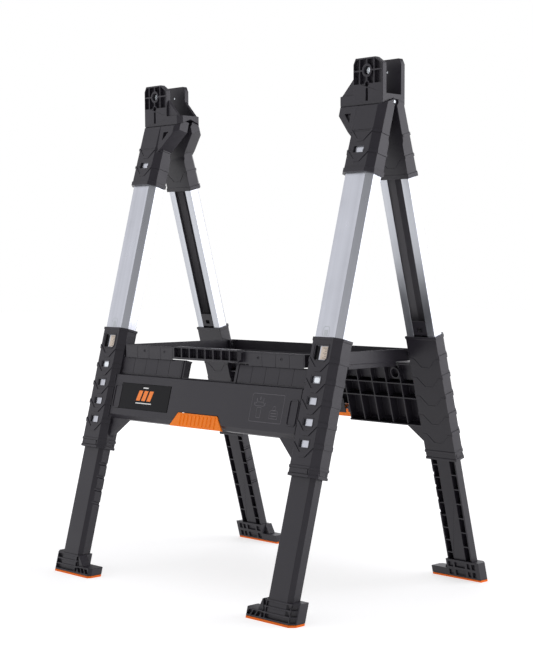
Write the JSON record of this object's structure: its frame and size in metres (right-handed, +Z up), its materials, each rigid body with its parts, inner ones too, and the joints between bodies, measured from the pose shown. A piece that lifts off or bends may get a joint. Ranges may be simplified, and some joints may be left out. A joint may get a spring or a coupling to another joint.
{
  "type": "folding sawhorse",
  "caption": "Folding sawhorse with telescopic aluminium legs, levelling feet, board cradles and a folding tool tray.",
  "frame": {"origin": "on the floor, under the middle of the sawhorse", "axes": "+Z up, +X along the board that the cradles hold, front (-Y) is the side with the tray handle"},
  "size_m": [0.7232, 0.5586, 1.01],
  "materials": {
    "plastic": "fine moulded texture, charcoal",
    "aluminium": "satin extruded",
    "orange": "satin moulded",
    "rubber": "matt",
    "zinc": "bright zinc plated",
    "steel": "plain turned",
    "label": "satin black with plain orange bars"
  },
  "bodies": {
    "cradles": {"cradle_left": "plastic", "ear_screw_front_left": "zinc", "ear_screw_rear_left": "zinc", "hinge_pin_left": "steel", "cradle_right": "plastic", "ear_screw_front_right": "zinc", "ear_screw_rear_right": "zinc", "hinge_pin_right": "steel"},
    "front_upper": {"head_front_left": "plastic", "tube_front_left": "aluminium", "channel_clip_front_left": "plastic", "head_front_right": "plastic", "tube_front_right": "aluminium", "channel_clip_front_right": "plastic"},
    "rear_upper": {"head_rear_left": "plastic", "tube_rear_left": "aluminium", "channel_clip_rear_left": "plastic", "head_rear_right": "plastic", "tube_rear_right": "aluminium", "channel_clip_rear_right": "plastic"},
    "front_frame": {"frame_front": "plastic", "label_plate_front": "label", "latch_pin_front": "steel"},
    "rear_frame": {"frame_rear": "plastic", "label_plate_rear": "label", "latch_pin_rear": "steel", "tray_pin_left": "steel", "tray_pin_right": "steel"},
    "tube_button_front_left": {"tube_button_front_left": "zinc"},
    "tube_button_front_right": {"tube_button_front_right": "zinc"},
    "tube_button_rear_left": {"tube_button_rear_left": "zinc"},
    "tube_button_rear_right": {"tube_button_rear_right": "zinc"},
    "lock_plate_front_left": {"lock_plate_front_left": "plastic"},
    "lock_plate_front_right": {"lock_plate_front_right": "plastic"},
    "lock_plate_rear_left": {"lock_plate_rear_left": "plastic"},
    "lock_plate_rear_right": {"lock_plate_rear_right": "plastic"},
    "leg_front_left": {"lower_leg_front_left": "plastic", "shoe_front_left": "plastic", "foot_pad_front_left": "rubber"},
    "leg_front_right": {"lower_leg_front_right": "plastic", "shoe_front_right": "plastic", "foot_pad_front_right": "rubber"},
    "leg_rear_left": {"lower_leg_rear_left": "plastic", "shoe_rear_left": "plastic", "foot_pad_rear_left": "rubber"},
    "leg_rear_right": {"lower_leg_rear_right": "plastic", "shoe_rear_right": "plastic", "foot_pad_rear_right": "rubber"},
    "latch_front": {"latch_front": "orange"},
    "latch_rear": {"latch_rear": "orange"},
    "tray": {"tray": "plastic"}
  },
  "joints": [
    {"name": "front_fold", "type": "hinge", "parent": "cradles", "child": "front_upper", "pos_m": [0, 0, 0.93], "axis": [1, 0, 0], "range_deg": [0, 13.4]},
    {"name": "rear_fold", "type": "hinge", "parent": "cradles", "child": "rear_upper", "pos_m": [0, 0, 0.93], "axis": [-1, 0, 0], "range_deg": [0, 13.4]},
    {"name": "front_height", "type": "slide", "parent": "front_upper", "child": "front_frame", "axis": [0, 0.2588, 0.9659], "range_m": [0, 0.117]},
    {"name": "rear_height", "type": "slide", "parent": "rear_upper", "child": "rear_frame", "axis": [0, -0.2588, 0.9659], "range_m": [0, 0.117]},
    {"name": "tube_button_front_left_press", "type": "slide", "parent": "front_upper", "child": "tube_button_front_left", "axis": [0, 0.9659, -0.2588], "range_m": [0, 0.0022], "stiffness_N_per_m": 400},
    {"name": "tube_button_front_right_press", "type": "slide", "parent": "front_upper", "child": "tube_button_front_right", "axis": [0, 0.9659, -0.2588], "range_m": [0, 0.0022], "stiffness_N_per_m": 400},
    {"name": "tube_button_rear_left_press", "type": "slide", "parent": "rear_upper", "child": "tube_button_rear_left", "axis": [0, -0.9659, -0.2588], "range_m": [0, 0.0022], "stiffness_N_per_m": 400},
    {"name": "tube_button_rear_right_press", "type": "slide", "parent": "rear_upper", "child": "tube_button_rear_right", "axis": [0, -0.9659, -0.2588], "range_m": [0, 0.0022], "stiffness_N_per_m": 400},
    {"name": "lock_plate_front_left_press", "type": "slide", "parent": "front_frame", "child": "lock_plate_front_left", "axis": [0, 0.9659, -0.2588], "range_m": [0, 0.001], "stiffness_N_per_m": 400},
    {"name": "lock_plate_front_right_press", "type": "slide", "parent": "front_frame", "child": "lock_plate_front_right", "axis": [0, 0.9659, -0.2588], "range_m": [0, 0.001], "stiffness_N_per_m": 400},
    {"name": "lock_plate_rear_left_press", "type": "slide", "parent": "rear_frame", "child": "lock_plate_rear_left", "axis": [0, -0.9659, -0.2588], "range_m": [0, 0.001], "stiffness_N_per_m": 400},
    {"name": "lock_plate_rear_right_press", "type": "slide", "parent": "rear_frame", "child": "lock_plate_rear_right", "axis": [0, -0.9659, -0.2588], "range_m": [0, 0.001], "stiffness_N_per_m": 400},
    {"name": "leg_front_left_slide", "type": "slide", "parent": "front_frame", "child": "leg_front_left", "axis": [0, 0.2588, 0.9659], "range_m": [0, 0.0816]},
    {"name": "leg_front_right_slide", "type": "slide", "parent": "front_frame", "child": "leg_front_right", "axis": [0, 0.2588, 0.9659], "range_m": [0, 0.0816]},
    {"name": "leg_rear_left_slide", "type": "slide", "parent": "rear_frame", "child": "leg_rear_left", "axis": [0, -0.2588, 0.9659], "range_m": [0, 0.0816]},
    {"name": "leg_rear_right_slide", "type": "slide", "parent": "rear_frame", "child": "leg_rear_right", "axis": [0, -0.2588, 0.9659], "range_m": [0, 0.0816]},
    {"name": "latch_front_press", "type": "hinge", "parent": "front_frame", "child": "latch_front", "pos_m": [0, -0.17405, 0.33839], "axis": [1, 0, 0], "range_deg": [0, 10], "stiffness_Nm_per_rad": 0.6},
    {"name": "latch_rear_press", "type": "hinge", "parent": "rear_frame", "child": "latch_rear", "pos_m": [0, 0.17405, 0.33839], "axis": [-1, 0, 0], "range_deg": [0, 10], "stiffness_Nm_per_rad": 0.6},
    {"name": "tray_fold", "type": "hinge", "parent": "rear_frame", "child": "tray", "pos_m": [0, 0.13596, 0.46122], "axis": [-1, 0, 0], "range_deg": [0, 84]}
  ],
  "couplings": [
    {"joint": "rear_fold", "follows": "front_fold", "ratio": 1},
    {"joint": "rear_height", "follows": "front_height", "ratio": 1},
    {"joint": "tray_fold", "follows": "front_fold", "ratio": 6.2}
  ]
}
